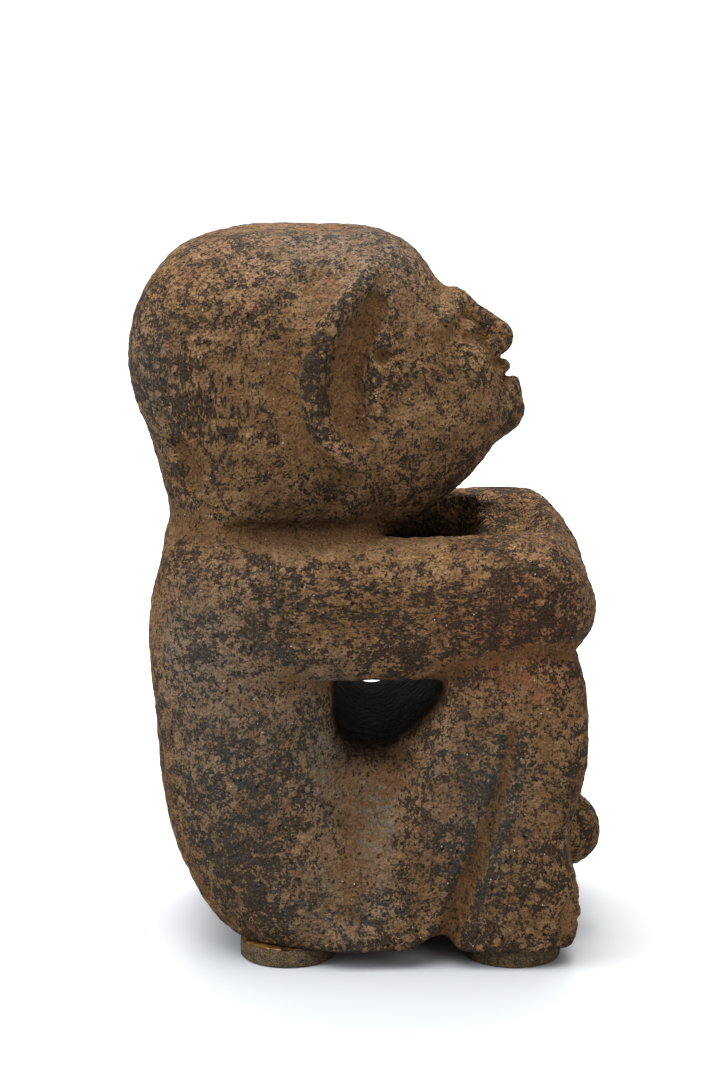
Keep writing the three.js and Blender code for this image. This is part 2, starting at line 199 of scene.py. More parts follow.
# Where the dark skin is thick or worn off: a centre and radii as side, ahead and up, then how much
DARK_PLACES = [
    ((50, 20, 94), (14, 66, 19), 0.14),
    ((50, 44, 96), (14, 24, 17), 0.08),
    ((42, -10, 155), (9, 7, 28), 0.16),
    ((30, -56, 152), (30, 14, 34), 0.06),
    ((36, -42, 142), (20, 18, 16), 0.08),
    ((47, 32, 36), (16, 26, 54), 0.17),
    ((47, -30, 36), (18, 28, 50), 0.15),
    ((20, 30, 150), (34, 24, 26), -0.08),
    ((34, 58, 12), (20, 10, 16), -0.16),
    ((34, -10, 114), (40, 44, 9), -0.20),
    ((0, 30, 112), (34, 34, 10), -0.12),
    ((34, -22, 121), (34, 34, 13), -0.12),
    ((46, 3, 48), (14, 10, 30), -0.12),
    ((46, -54, 98), (24, 12, 34), -0.12),
    ((50, -20, 72), (12, 34, 9), -0.13),
]
# Painted shade below the jaw, round the neck and under the head, where the head overhangs the stone
PAINTED_SHADE_PLACES = [
    ((0, 14, 113), (34, 22, 14), 0.8),
    ((34, -18, 115), (34, 44, 10), 0.5),
    ((36, -14, 124), (24, 36, 15), 0.5),
]
# Where the stone is greyer: flank, leg, back and top of the head, upper back, and round and below the gap
# Partly the stone's own grey tone, partly painted sheen where the back and the top catch grazing light
GREY_AND_SHEEN_PLACES = [
    ((50, -34, 60), (24, 40, 76), 1),
    ((48, 30, 44), (20, 24, 44), 1),
    ((30, -62, 150), (24, 22, 40), 1),
    ((20, 0, 190), (50, 60, 30), 1),
    ((50, -50, 84), (24, 22, 40), 1),
    ((44, -6, 62), (16, 14, 36), 1),
    ((50, -4, 18), (16, 30, 22), 1),
]
# Grey lichen-like crust round the gap
CRUST_PLACES = [
    ((46, -8, 56), (14, 8, 30), 1),
    ((44, 3, 42), (12, 12, 22), 1),
]
RED_ELBOWS = ((50, 44, 88), (18, 40, 32))  # an iron-red tint
STREAKED_ARMS = ((50, 10, 96), (20, 70, 22))  # level streaks
SCRATCHED_HEAD = ((38, -38, 148), (22, 26, 30))  # upright scratches
BARE_PIT = ((-34, -44, 132), (9, 7, 10))  # the worn pit at the back of the head, which is on one side only
BARE_GROOVE = (2.2, 5.2)  # how wide the bare stone along the calf groove is, at its two ends
DARK_DRIFT, DARK_DRIFT_SIZE, DARK_DRIFT_OCTAVES, DARK_DRIFT_PLACE = 0.10, 20, 3, 11

# How hollow a place is comes from the share of stone round it, near and wide, in grid cells. Each has the
# share from which it counts, how fast it grows and its weight.
NEAR_CELLS, WIDE_CELLS = 2, 6
NEAR_HOLLOW_FROM, NEAR_HOLLOW_GROWTH, NEAR_HOLLOW = 0.51, 6, 0.5
WIDE_HOLLOW_FROM, WIDE_HOLLOW_GROWTH, WIDE_HOLLOW = 0.53, 5, 0.7
GROOVE_HOLLOW = 0.9
WORN_BELOW, WORN_GROWTH = 0.47, 5

# Colours, in linear light
TAN_LIGHT = (0.214, 0.122, 0.059, 1)
TAN_BROWN = (0.124, 0.067, 0.032, 1)
GREY_TAN = (0.158, 0.120, 0.091, 1)
OCHRE = (0.118, 0.059, 0.024, 1)
RED_BROWN = (0.165, 0.062, 0.029, 1)
DARK_RED = (0.040, 0.018, 0.011, 1)
DARK_GREY = (0.0216, 0.0196, 0.0182, 1)
DARK_BROWN = (0.0325, 0.0196, 0.0124, 1)
COAT_GRAIN = (0.062, 0.050, 0.038, 1)
# Pale dust on the stone, which is also the painted sheen on the dark skin
DUST_AND_SHEEN = (0.21, 0.17, 0.125, 1)
CRUST_GREY = (0.120, 0.114, 0.094, 1)
SPARKLE = (0.55, 0.52, 0.46, 1)
# The near black of the pits, which is also the painted shade deep in the gap and under the head
PIT_AND_SHADE_BLACK = (0.005, 0.003, 0.002, 1)
FELT_DARK = (0.020, 0.011, 0.004, 1)
FELT_BROWN = (0.120, 0.068, 0.024, 1)
FELT_FIBRE = (0.330, 0.240, 0.125, 1)
GLUE_DARK = (0.070, 0.028, 0.008, 1)
GLUE_AMBER = (0.320, 0.165, 0.040, 1)
FLOOR_PALE = (0.555, 0.565, 0.58, 1)
WHITE = (1, 1, 1)
COOL_WHITE = (0.86, 0.94, 1.0)

# Felt pads, with a layer of glue on each. A profile is shares of the radius and of the thickness, going up.
PAD_PROFILE = [
    (0.5, 0), (0.85, 0), (0.955, 0.01), (0.985, 0.07), (0.992, 0.18), (0.996, 0.32), (0.998, 0.46),
    (0.998, 0.6), (0.996, 0.74), (0.992, 0.86), (0.98, 0.95), (0.955, 0.99), (0.5, 1)]
PAD_AROUND, GLUE_AROUND = 160, 72
RIM_FROM = 0.9  # the share of the radius from which a ring of points is on the rim
RIM_WAVES, RIM_WAVE_FADE, RIM_WAVE_PHASE, RIM_WAVE_HEIGHT = range(3, 30), 0.7, 6.3, 0.11
RIM_OUT, RIM_FUZZ = 0.05, (-0.15, 0.08)
GLUE_INSET, GLUE_UNEVEN, GLUE_GAP = 0.9, 0.4, 0.02
PAD_SEED, GLUE_SEED = 20, 40

# The studio and the camera, in metres
FLOOR_NEAR, FLOOR_FAR, FLOOR_HALF_WIDTH = -2.5, 1.6, 4.0
SWEEP_RADIUS, SWEEP_START, SWEEP_STEPS = 0.8, 0.1, 14
BACKDROP_TOP = 3.0
WORLD_STRENGTH = 0.15
FIGURE_MIDDLE, BACKDROP_MIDDLE = (0, 0, 0.1), (2.3, 0, 0.1)
LIGHTS = [  # name, place, what it points at, size, power and colour
    ("top_softbox", (-0.16, 0.12, 0.95), FIGURE_MIDDLE, (1.2, 1.2), 20, WHITE),
    ("back_softbox", (-0.40, 1.0, 0.6), FIGURE_MIDDLE, (0.6, 0.6), 8, COOL_WHITE),
    ("front_softbox", (-0.9, -0.6, 0.5), FIGURE_MIDDLE, (0.6, 0.6), 3.5, WHITE),
    ("backdrop_light", (1.0, 0, 1.4), BACKDROP_MIDDLE, (0.6, 2.4), 62, WHITE),
]
LENS_MM, SENSOR_HEIGHT_MM, CLIP_START = 105, 36, 0.05
CAMERA_PLACE = (-0.8288, MIDDLE_AHEAD * MM, 0.2749)
CAMERA_PITCH = math.radians(11.533)


# Distances. Each function takes numbers or arrays that broadcast, and a distance is negative inside.
def smin(a, b, blend):
    return np.minimum(a, b) - np.maximum(blend - np.abs(a - b), 0) ** 2 / (4 * blend)


def smax(a, b, blend):
    return -smin(-a, -b, blend)


def mix(ends, t):
    return ends[0] + (ends[1] - ends[0]) * t


def ease(t):
    t = np.clip(t, 0, 1)
    return t * t * (3 - 2 * t)


def rising(value, start, over):
    """0 up to the start, and 1 that far beyond it."""
    return ease((value - start) / over)


def falling(value, end, over):
    """0 from the end on, and 1 that far short of it."""
    return ease((end - value) / over)


def hump(distance, half_width):
    return 1 - ease(distance / half_width)


def smooth_line(points, closed):
    """Points along the centripetal curve through the given ones: the CAD model's curve, in finer steps."""
    points = [np.array(p, float) for p in points]
    count = len(points)
    spans = count if closed else count - 1
    if closed:
        points = [points[-1], *points, *points[:2]]
    else:
        points = [2 * points[0] - points[1], *points, 2 * points[-1] - points[-2]]
    places = []
    for step in range(count * CURVE_STEPS + 1):
        where = spans * step / (count * CURVE_STEPS)
        i = min(int(where), spans - 1)
        t = where - i
        p0, p1, p2, p3 = points[i:i + 4]
        d0, d1, d2 = (np.sqrt(np.linalg.norm(b - a)) for a, b in ((p0, p1), (p1, p2), (p2, p3)))
        leave = ((p1 - p0) / d0 - (p2 - p0) / (d0 + d1) + (p2 - p1) / d1) * d1
        arrive = ((p2 - p1) / d1 - (p3 - p1) / (d1 + d2) + (p3 - p2) / d2) * d1
        squared = 3 * (p2 - p1) - 2 * leave - arrive
        cubed = 2 * (p1 - p2) + leave + arrive
        places.append(p1 + leave * t + squared * t**2 + cubed * t**3)
    return places


def line_at(points, a, b):
    """How far (a, b) is from the line through the points, and where along it, from 0 to 1."""
    distance = np.full(np.broadcast(a, b).shape, np.inf)
    along = np.zeros_like(distance)
    for i, (start, end) in enumerate(itertools.pairwise(points)):
        ea, eb = end[0] - start[0], end[1] - start[1]
        t = np.clip(((a - start[0]) * ea + (b - start[1]) * eb) / (ea * ea + eb * eb), 0, 1)
        here = np.hypot(a - start[0] - t * ea, b - start[1] - t * eb)
        nearer = here < distance
        distance = np.where(nearer, here, distance)
        along = np.where(nearer, (i + t) / (len(points) - 1), along)
    return distance, along


def outline(points):
    ring = smooth_line(points, True)

    def distance(a, b):
        inside = np.zeros(np.broadcast(a, b).shape, bool)
        for (ax, ay), (bx, by) in itertools.pairwise(ring):
            if ay != by:
                inside ^= ((ay > b) != (by > b)) & (a < ax + (b - ay) * (bx - ax) / (by - ay))
        return line_at(ring, a, b)[0] * np.where(inside, -1, 1)

    return distance


def open_line(points):
    line = smooth_line(points, False)
    return lambda a, b: line_at(line, a, b)


trunk_outline = outline(TRUNK_OUTLINE)
head_outline = outline(HEAD_OUTLINE)
leg_outline = outline(LEG_OUTLINE)
web_outline = outline(WEB_OUTLINE)
tunnel_outline = outline(TUNNEL_OUTLINE)
hollow_outline = outline(HOLLOW_OUTLINE)
calf_groove = open_line(CALF_GROOVE)
elbow_groove = open_line(ELBOW_GROOVE)
ear_ridge = open_line(EAR_RIDGE)
ear_hollow = open_line(EAR_HOLLOW)
ear_slope = open_line(EAR_SLOPE)
ear_back = open_line(EAR_BACK)


def rounded_edge(a, b, rounding):
    """Two distances met at a right angle, with the edge between them rounded."""
    inner = np.minimum(np.maximum(a, b) + rounding, 0)
    return inner + np.hypot(np.maximum(a + rounding, 0), np.maximum(b + rounding, 0)) - rounding


def slab(profile, across, half_and_round):
    return rounded_edge(profile, np.abs(across) - half_and_round[0], half_and_round[1])


def ellipsoid(p, centre, radii):
    q = [v - c for v, c in zip(p, centre)]
    near = np.sqrt(sum((v / r) ** 2 for v, r in zip(q, radii)))
    slope = np.sqrt(sum((v / r**2) ** 2 for v, r in zip(q, radii)))
    return near * (near - 1) / np.maximum(slope, 1e-6)


def rod(p, a, b, radii):
    along = [e - s for s, e in zip(a, b)]
    t = sum((v - s) * e for v, s, e in zip(p, a, along)) / sum(e * e for e in along)
    t = np.clip(t, 0, 1)
    return np.sqrt(sum((v - s - t * e) ** 2 for v, s, e in zip(p, a, along))) - mix(radii, t)


def arms(side, ahead, up):
    t = np.clip((ahead - SHOULDER_AHEAD) / (ELBOW_AHEAD - SHOULDER_AHEAD), 0, 1)
    top = mix(ARM_TOP, t)
    underside = mix(ARM_UNDERSIDE, rising(ahead, *ARM_RISE))
    level = np.abs(up - (top + underside) / 2) - (top - underside) / 2
    middle, reach = (RING_FRONT + RING_BACK) / 2, (RING_FRONT - RING_BACK) / 2
    plan = rounded_edge(side - HALF_WIDTH, np.abs(ahead - middle) - reach, RING_CORNER)
    slope = ahead * FOREARM_SLOPE[0] + up * FOREARM_SLOPE[1] - FOREARM_SLOPE[2]
    return smax(rounded_edge(plan, level, mix(ARM_ROUND, t)), slope, blend=4)


def hands(side, ahead, up):
    """How deep the lines between the fingers and between the hands are, on the front of the forearms."""
    on_front = rising(ahead, *HANDS_AHEAD) * falling(side, *HANDS_SIDE)
    lines = sum(hump(np.abs(up - level), FINGER_LINE_WIDTH) for level in FINGER_LINES_UP)
    fingers = FINGER_LINE_DEPTH * (lines * rising(side, *FINGERS_SIDE))
    return (fingers + BETWEEN_HANDS_DEPTH * hump(side, BETWEEN_HANDS_WIDTH)) * on_front


def toes(side, ahead, up):
    """How deep the gaps between the toes are, which are rounded in plan."""
    on_foot = rising(ahead, *TOES_AHEAD) * falling(up, *TOES_UP) * rising(side, FIRST_TOE_LINE, TOES_FADE)
    off_middle = np.abs(np.mod((side - FIRST_TOE_LINE) / TOE_WIDTH, 1) - 0.5) * 2
    return TOE_DEPTH * off_middle**TOE_SHARPNESS * on_foot


def body(side, ahead, up):
    p = (side, ahead, up)
    d = slab(trunk_outline(ahead, up), side, TRUNK)
    d = smin(d, slab(leg_outline(ahead, up), side - LEG_MIDDLE, LEG), blend=5)
    d = smin(d, slab(web_outline(ahead, up), side, WEB), blend=4)
    d = smax(d, -rod(p, *VALLEY), blend=6)
    d = smax(d, -rod(p, *FUNNEL), blend=3)
    d = smax(d, -slab(tunnel_outline(ahead, up), side, TUNNEL), blend=4)
    d = smin(d, arms(side, ahead, up), blend=2.5)
    d = smax(d, -slab(hollow_outline(ahead, up), side, HOLLOW), blend=3)
    d = smax(d, -ellipsoid(p, *DISH), blend=4)
    distance, along = calf_groove(ahead, up)
    calf = mix(CALF_GROOVE_DEPTHS, along) * hump(distance, mix(CALF_GROOVE_WIDTHS, along))
    d = d + calf * rising(side, *CALF_GROOVE_FADE)
    elbow = ELBOW_GROOVE_DEPTH * hump(elbow_groove(ahead, up)[0], ELBOW_GROOVE_WIDTH)
    d = d + elbow * rising(side, *ELBOW_GROOVE_FADE)
    d = smax(d, NOTCH_RADIUS - np.hypot(ahead - NOTCH_AHEAD, up - NOTCH_UP), blend=3)
    d = smin(d, rod(p, *BOSS), blend=4)
    return d + hands(side, ahead, up) + toes(side, ahead, up)


def face(d, side, ahead, up):
    out = (ahead - FACE_AHEAD) * math.cos(FACE_TILT) + (up - FACE_UP) * math.sin(FACE_TILT)
    rise = (up - FACE_UP) * math.cos(FACE_TILT) - (ahead - FACE_AHEAD) * math.sin(FACE_TILT)
    p = (side, out, rise)
    d = smin(d, rod(p, *BROW_RIDGE), blend=4)
    d = smin(d, ellipsoid(p, *CHEEK), blend=6)
    d = smax(d, -ellipsoid(p, *EYE_SOCKET), blend=2.5)
    d = smin(d, ellipsoid(p, *EYEBALL), blend=0.8)
    d = smin(d, rod(p, *NOSE), blend=3)
    d = smin(d, ellipsoid(p, *NOSE_WING), blend=1.5)
    d = smin(d, ellipsoid(p, *MOUTH_MOUND), blend=4)
    d = smin(d, ellipsoid(p, *UPPER_LIP), blend=1)
    d = smin(d, ellipsoid(p, *LOWER_LIP), blend=0.8)
    d = smin(d, ellipsoid(p, *CHIN_BALL), blend=5)
    in_front = rising(out, *FACE_LINES_OUT)
    lids = LID_LINE_DEPTH * hump(line_at(LID_LINE, side, rise)[0], LID_LINE_WIDTH)
    lips = LIP_LINE_DEPTH * hump(line_at(LIP_LINE, side, rise)[0], LIP_LINE_WIDTH)
    d = d + lids * in_front + lips * in_front
    return smax(d, -ellipsoid(p, *NOSTRIL), blend=0.6)


def head(side, ahead, up):
    narrowing = FACE_NARROWING * rising(ahead, *FACE_NARROWS) + NECK_NARROWING * falling(up, *NECK_NARROWS)
    d = slab(head_outline(ahead, up), side, (HEAD[0] - narrowing, HEAD[1] - narrowing / 2))
    on_side = rising(side, *EAR_FADE)
    d = d - EAR_RIDGE_HEIGHT * hump(ear_ridge(ahead, up)[0] - EAR_RIDGE_TOP, EAR_RIDGE_WIDTH) * on_side
    distance, along = ear_hollow(ahead, up)
    top = mix((EAR_HOLLOW_END, 1), rising(along, *EAR_HOLLOW_DEEPENS))
    foot = mix((1, EAR_HOLLOW_END), rising(along, *EAR_HOLLOW_FADES))
    d = d + EAR_HOLLOW_DEPTH * hump(distance, EAR_HOLLOW_WIDTH) * (top * foot) * on_side
    d = d + EAR_SLOPE_DEPTH * hump(ear_slope(ahead, up)[0], EAR_SLOPE_WIDTH) * on_side
    d = d + EAR_BACK_DEPTH * hump(ear_back(ahead, up)[0], EAR_BACK_WIDTH) * on_side
    d = smax(d, -ellipsoid((side, ahead, up), *EAR_PIT), blend=1.5)
    return face(d, side, ahead, up)


def stone(x, ahead, up):
    """The distance to the stone. Both sides are alike but for the pit at the back of the head."""
    side = np.abs(x)
    at_back = mix((NAPE_BLEND, NECK_BLEND), rising(ahead, *NAPE_TO_NECK))
    blend = mix((at_back, JAW_BLEND), rising(ahead, *NECK_TO_JAW))
    d = smin(body(side, ahead, up), head(side, ahead, up), blend)
    along_neck = falling(ahead, *NECK_CREASE_FRONT) * rising(ahead, *NECK_CREASE_BACK)
    d = d + NECK_CREASE_DEPTH * hump(np.abs(up - NECK_CREASE_UP), NECK_CREASE_WIDTH) * along_neck
    d = smax(d, -rod((x, ahead, up), *BACK_PIT), blend=1)
    return smax(d, STONE_BASE - up, blend=2)


# The stone's mesh
def sampled():
    """The field on the grid, indexed [x, ahead, up], and the grid's own coordinates."""
    axes = [np.arange(low, high + CELL, CELL, dtype=np.float32) for low, high in zip(GRID_LOW, GRID_HIGH)]
    x = axes[0].reshape(-1, 1, 1)
    ahead = axes[1].reshape(1, -1, 1)
    up = axes[2].reshape(1, 1, -1)
    return stone(x, ahead, up).astype(np.float32), axes


def net_vertices(field):
    """A vertex in each cell the surface passes through, in grid steps, and each cell's vertex number."""
    shape = [n - 1 for n in field.shape]

    def at_corners(values):
        return [values[tuple(slice(c, c + n) for c, n in zip(corner, shape))] for corner in CELL_CORNERS]

    corners_in = sum(inside.astype(np.int8) for inside in at_corners(field < 0))
    mixed = (corners_in > 0) & (corners_in < len(CELL_CORNERS))
    cells = np.argwhere(mixed)
    number = np.full(shape, -1, np.int64)
    number[mixed] = np.arange(len(cells))
    values = np.stack([corner[mixed] for corner in at_corners(field)], axis=1)
    total = np.zeros((len(cells), 3))
    count = np.zeros(len(cells))
    for a, b in itertools.combinations(range(len(CELL_CORNERS)), 2):
        step = np.subtract(CELL_CORNERS[b], CELL_CORNERS[a])
        if np.abs(step).sum() != 1:
            continue
        crosses = (values[:, a] < 0) != (values[:, b] < 0)
        t = np.where(crosses, values[:, a] / np.where(crosses, values[:, a] - values[:, b], 1), 0)
        total += np.where(crosses[:, None], np.array(CELL_CORNERS[a]) + t[:, None] * step, 0)
        count += crosses
    return cells + total / count[:, None], number


def net_quads(inside, number):
    """A quad of cell vertices round each grid edge that the surface crosses, facing outward."""
    quads = []
    for axis in range(3):
        u, v = (axis + 1) % 3, (axis + 2) % 3
        here = [slice(1, n) for n in number.shape]
        here[axis] = slice(0, number.shape[axis])
        there = list(here)
        there[axis] = slice(1, number.shape[axis] + 1)
        starts, ends = inside[tuple(here)], inside[tuple(there)]
        for leaving in (True, False):
            edges = np.argwhere((starts == leaving) & (ends != leaving))
            edges[:, u] += 1
            edges[:, v] += 1
            around = []
            for du, dv in ((-1, -1), (0, -1), (0, 0), (-1, 0)):
                cell = edges.copy()
                cell[:, u] += du
                cell[:, v] += dv
                around.append(number[tuple(cell.T)])
            quad = np.stack(around, axis=1)
            quads.append(quad[:, ::-1] if leaving else quad)
    return np.concatenate(quads)


def blurred(values, radius):
    """A box blur along each axis, run twice."""
    for _ in range(2):
        for axis in range(3):
            padding = [(0, 0)] * 3
            padding[axis] = (radius + 1, radius)
            sums = np.cumsum(np.pad(values, padding, mode="edge"), axis=axis, dtype=np.float32)
            count = values.shape[axis]
            high = np.take(sums, np.arange(2 * radius + 1, 2 * radius + 1 + count), axis=axis)
            low = np.take(sums, np.arange(0, count), axis=axis)
            values = (high - low) / (2 * radius + 1)
    return values


def read_grid(values, places):
    """Trilinear values at places, which are in grid steps."""
    base = np.clip(np.floor(places).astype(int), 0, np.array(values.shape) - 2)
    part = places - base
    result = 0
    for corner in CELL_CORNERS:
        weight = np.prod(np.where(corner, part, 1 - part), axis=1)
        result = result + weight * values[tuple((base + corner).T)]
    return result


def fractal(points, size, octaves, offset):
    """Fractal noise of about -1 to 1, whose widest bumps are about `size` millimetres apart."""
    shift = Vector((offset, -offset, 2 * offset))
    places = (Vector(p) / size + shift for p in points)
    return np.array([noise.fractal(place, FRACTAL_FADE, FRACTAL_STEP, octaves) for place in places])


def mesh_object(name, vertices, faces):
    mesh = bpy.data.meshes.new(name)
    mesh.from_pydata(vertices, [], faces)
    mesh.update()
    made = bpy.data.objects.new(name, mesh)
    bpy.context.collection.objects.link(made)
    return made


def to_row_frame(points):
    """Grid millimetres (x, ahead, up) to metres in the row's frame."""
    return np.stack([points[:, 0], MIDDLE_AHEAD - points[:, 1], points[:, 2]], axis=1) * MM


def from_row_frame(points):
    points = points / MM
    return np.stack([points[:, 0], MIDDLE_AHEAD - points[:, 1], points[:, 2]], axis=1)


def on_one_side(points):
    """The points with both sides of the figure laid on one."""
    return np.stack([np.abs(points[:, 0]), points[:, 1], points[:, 2]], axis=1)


def read_vectors(collection, name, count):
    values = np.empty(count * 3, np.float32)
    collection.foreach_get(name, values)
    return values.reshape(-1, 3).astype(float)


def thin(thing, triangles):
    """Collapses the object's mesh to about that many triangles."""
    thing.data.calc_loop_triangles()
    thinning = thing.modifiers.new("thin", "DECIMATE")
    thinning.ratio = min(1, triangles / len(thing.data.loop_triangles))
    thinning.use_collapse_triangulate = True
    graph = bpy.context.evaluated_depsgraph_get()
    mesh = bpy.data.meshes.new_from_object(thing.evaluated_get(graph))
    old = thing.data
    thing.modifiers.clear()
    thing.data = mesh
    bpy.data.meshes.remove(old)


def pit_depths(points, rng):
    """Small worn pits scattered over the surface."""
    tree = KDTree(len(points))
    for i, p in enumerate(points):
        tree.insert(p, i)
    tree.balance()
    depths = np.zeros(len(points))
    for centre in rng.choice(len(points), PIT_COUNT, replace=False):
        radius = rng.uniform(*PIT_RADII) * (1 if rng.random() < COMMON_PITS else LARGE_PIT)
        depth = radius * rng.uniform(*PIT_DEPTHS)
        for _, i, distance in tree.find_range(points[centre], radius):
            depths[i] = max(depths[i], depth * (1 - (distance / radius) ** 2))
    return depths


def soft_ball(points, centre, radii):
    """1 at the centre, falling to 0 at the radii."""
    return 1 - ease(np.sqrt(sum(((points[:, i] - centre[i]) / radii[i]) ** 2 for i in range(3))))


def soft_balls(points, places):
    return sum(amount * soft_ball(points, centre, radii) for centre, radii, amount in places)


def inside_ring(points):
    """1 deep inside the gap and the hollow of the arms, where shade is painted near black and the relief is
    smoother.
    """
    side, ahead, up = points.T
    along = rising(ahead, *INSIDE_BACK) * falling(ahead, *INSIDE_FRONT)
    return falling(side, *INSIDE_SIDE) * falling(up, *INSIDE_TOP) * rising(up, *INSIDE_FOOT) * along


def relief_depths(points):
    """How far each point is carved in by bumps, pits and chips."""
    depth = pit_depths(points, np.random.default_rng(SEED))
    for number, (size, octaves, deep) in enumerate(BUMPS):
        bumps = BUMPS_LEVEL - BUMPS_SWING * fractal(points, size, octaves, BUMPS_APART * number)
        depth = depth + deep * np.clip(bumps, 0, BUMPS_MOST)
    side_points = on_one_side(points)
    size, octaves, deep = CHIPS
    chips = np.clip(CHIPS_LEVEL + fractal(points, size, octaves, CHIPS_PLACE), 0, 1)
    chips = deep * chips * soft_ball(side_points, *CHIPPED_FEET)
    kept = 1 - SMOOTH_INSIDE * inside_ring(side_points)
    return (depth + chips) * rising(points[:, 2], STONE_BASE, BASE_FADE) * kept


def stone_object():
    field, axes = sampled()
    vertices, number = net_vertices(field)
    quads = net_quads(field < 0, number)
    low = np.array([axis[0] for axis in axes])
    points = vertices * CELL + low
    carved_stone = mesh_object("carved_stone", to_row_frame(points), quads.tolist())
    mesh = carved_stone.data
    normals = read_vectors(mesh.vertex_normals, "vector", len(mesh.vertices))
    outward = np.stack([normals[:, 0], -normals[:, 1], normals[:, 2]], axis=1)
    moved = points - outward * relief_depths(points)[:, None]
    moved[:, 2] = np.maximum(moved[:, 2], STONE_BASE)
    mesh.vertices.foreach_set("co", to_row_frame(moved).astype(np.float32).ravel())
    mesh.update()
    thin(carved_stone, STONE_TRIANGLES)
    mesh = carved_stone.data
    points = from_row_frame(read_vectors(mesh.vertices, "co", len(mesh.vertices)))
    for name, values in shades(points, (field < 0).astype(np.float32), (points - low) / CELL).items():
        attribute = mesh.attributes.new(name, "FLOAT", "POINT")
        attribute.data.foreach_set("value", np.clip(values, 0, 1).astype(np.float32))
    mesh.shade_smooth()
    return carved_stone


def shades(points, solid, places):
    """What the material reads at each vertex, from 0 to 1."""
    near = read_grid(blurred(solid, NEAR_CELLS), places)
    wide = read_grid(blurred(solid, WIDE_CELLS), places)
    side_points = on_one_side(points)
    side, ahead, up = side_points.T
    distance, along = calf_groove(ahead, up)
    in_groove = hump(distance, mix(BARE_GROOVE, along)) * rising(side, *CALF_GROOVE_FADE)
    near_hollow = NEAR_HOLLOW * np.clip((near - NEAR_HOLLOW_FROM) * NEAR_HOLLOW_GROWTH, 0, 1)
    wide_hollow = WIDE_HOLLOW * np.clip((wide - WIDE_HOLLOW_FROM) * WIDE_HOLLOW_GROWTH, 0, 1)
    drift = DARK_DRIFT * fractal(points, DARK_DRIFT_SIZE, DARK_DRIFT_OCTAVES, DARK_DRIFT_PLACE)
    streaked = 0.5 * soft_ball(side_points, *STREAKED_ARMS)
    scratched = 0.5 * soft_ball(side_points, *SCRATCHED_HEAD)
    return {
        "hollow": near_hollow + wide_hollow + GROOVE_HOLLOW * in_groove + soft_ball(points, *BARE_PIT),
        "worn": np.clip((WORN_BELOW - near) * WORN_GROWTH, 0, 1),
        "dark": 0.5 + soft_balls(side_points, DARK_PLACES) + drift,
        "level": 0.5 + streaked - scratched,
        # Painted shade: deep inside the gap and the hollow of the arms, and below the jaw, round the neck
        # and under the head
        "deep": np.maximum(inside_ring(side_points), soft_balls(side_points, PAINTED_SHADE_PLACES)),
        "crust": soft_balls(side_points, CRUST_PLACES),
        "red": soft_ball(side_points, *RED_ELBOWS),
        # Greyer places, partly painted sheen
        "grey": soft_balls(side_points, GREY_AND_SHEEN_PLACES),
    }


